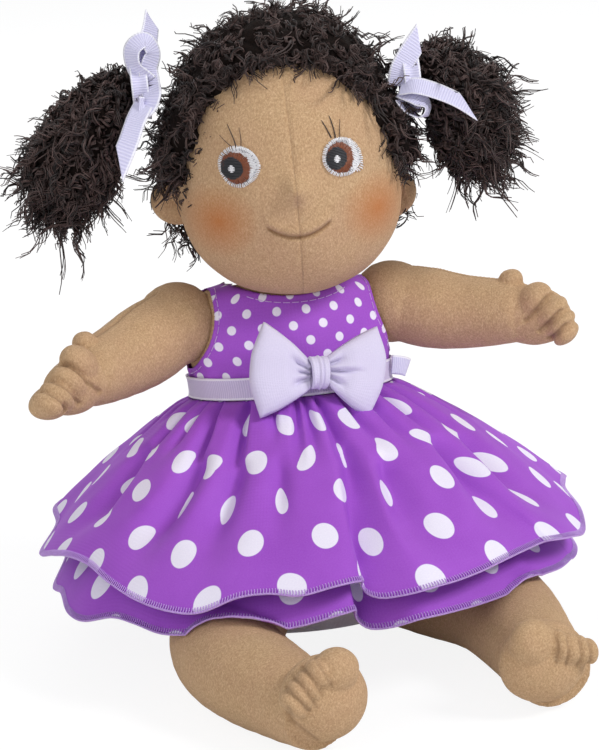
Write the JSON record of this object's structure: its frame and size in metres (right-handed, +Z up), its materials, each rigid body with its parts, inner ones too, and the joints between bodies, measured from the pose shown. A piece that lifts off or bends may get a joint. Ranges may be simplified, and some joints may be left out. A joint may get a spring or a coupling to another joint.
{
  "type": "cloth doll",
  "caption": "Seated soft cloth doll with stuffed fleece head, body and limbs, curly ponytails, and a two-tier dotted dress with a waist bow.",
  "frame": {"origin": "middle of the flat seat under the doll's body", "axes": "+Z up, -Y the way the doll faces, +X towards the doll's left hand"},
  "size_m": [0.2139, 0.244, 0.234],
  "materials": {
    "skin_fleece": "tan polyester fleece with a short brushed pile",
    "hair_pile": "dark brown curled acrylic pile",
    "dotted_cotton": "purple plain-weave cotton with white dots",
    "white_cotton": "white plain-weave cotton",
    "ribbon": "pale lavender ribbed ribbon",
    "white_jersey": "white cotton jersey",
    "eye_thread": "satin-stitched polyester thread",
    "closing_tape": "woven hook and loop tape"
  },
  "bodies": {
    "torso": {"torso": "skin_fleece", "underpants": "white_jersey", "bodice_front": "dotted_cotton", "bodice_back_left": "dotted_cotton", "bodice_back_right": "dotted_cotton", "hook_tape": "closing_tape", "loop_tape": "closing_tape", "waist_ribbon": "ribbon", "skirt_under": "dotted_cotton", "skirt_over": "dotted_cotton", "bow": "white_cotton", "bow_knot": "white_cotton"},
    "neck": {"neck": "skin_fleece"},
    "head": {"head": "skin_fleece", "ear_left": "skin_fleece", "ear_right": "skin_fleece", "eye_left": "eye_thread", "eye_right": "eye_thread", "hair_cap": "hair_pile"},
    "ponytail_left": {"ponytail_left": "hair_pile", "hair_ribbon_left": "ribbon"},
    "ponytail_right": {"ponytail_right": "hair_pile", "hair_ribbon_right": "ribbon"},
    "arm_left": {"arm_left": "skin_fleece"},
    "arm_right": {"arm_right": "skin_fleece"},
    "leg_left": {"leg_left": "skin_fleece"},
    "leg_right": {"leg_right": "skin_fleece"}
  },
  "joints": [
    {"name": "neck_turn", "type": "hinge", "parent": "torso", "child": "neck", "pos_m": [0, 0.01823, 0.12973], "axis": [0, 0.1392, 0.9903], "range_deg": [-25, 25], "stiffness_Nm_per_rad": 0.08},
    {"name": "head_nod", "type": "hinge", "parent": "neck", "child": "head", "pos_m": [0, 0.0199, 0.14161], "axis": [0.9744, -0.225, 0], "range_deg": [-10, 3], "stiffness_Nm_per_rad": 0.6},
    {"name": "ponytail_left_swing", "type": "hinge", "parent": "head", "child": "ponytail_left", "pos_m": [0.03963, -0.00054, 0.20212], "axis": [0.9726, -0.2245, 0.061], "range_deg": [-12, 12], "stiffness_Nm_per_rad": 0.01},
    {"name": "ponytail_right_swing", "type": "hinge", "parent": "head", "child": "ponytail_right", "pos_m": [-0.04546, 0.01911, 0.20479], "axis": [0.9726, -0.2245, 0.061], "range_deg": [-12, 12], "stiffness_Nm_per_rad": 0.01},
    {"name": "arm_left_raise", "type": "hinge", "parent": "torso", "child": "arm_left", "pos_m": [0.042, 0.01642, 0.11685], "axis": [0, -1, 0], "range_deg": [-28, 28], "stiffness_Nm_per_rad": 0.15},
    {"name": "arm_right_raise", "type": "hinge", "parent": "torso", "child": "arm_right", "pos_m": [-0.042, 0.01642, 0.11685], "axis": [0, 1, 0], "range_deg": [-28, 28], "stiffness_Nm_per_rad": 0.15},
    {"name": "leg_left_swing", "type": "hinge", "parent": "torso", "child": "leg_left", "pos_m": [0.026, -0.01, 0.02], "axis": [1, 0, 0], "range_deg": [0, 80]},
    {"name": "leg_right_swing", "type": "hinge", "parent": "torso", "child": "leg_right", "pos_m": [-0.026, -0.01, 0.02], "axis": [1, 0, 0], "range_deg": [0, 80]}
  ]
}
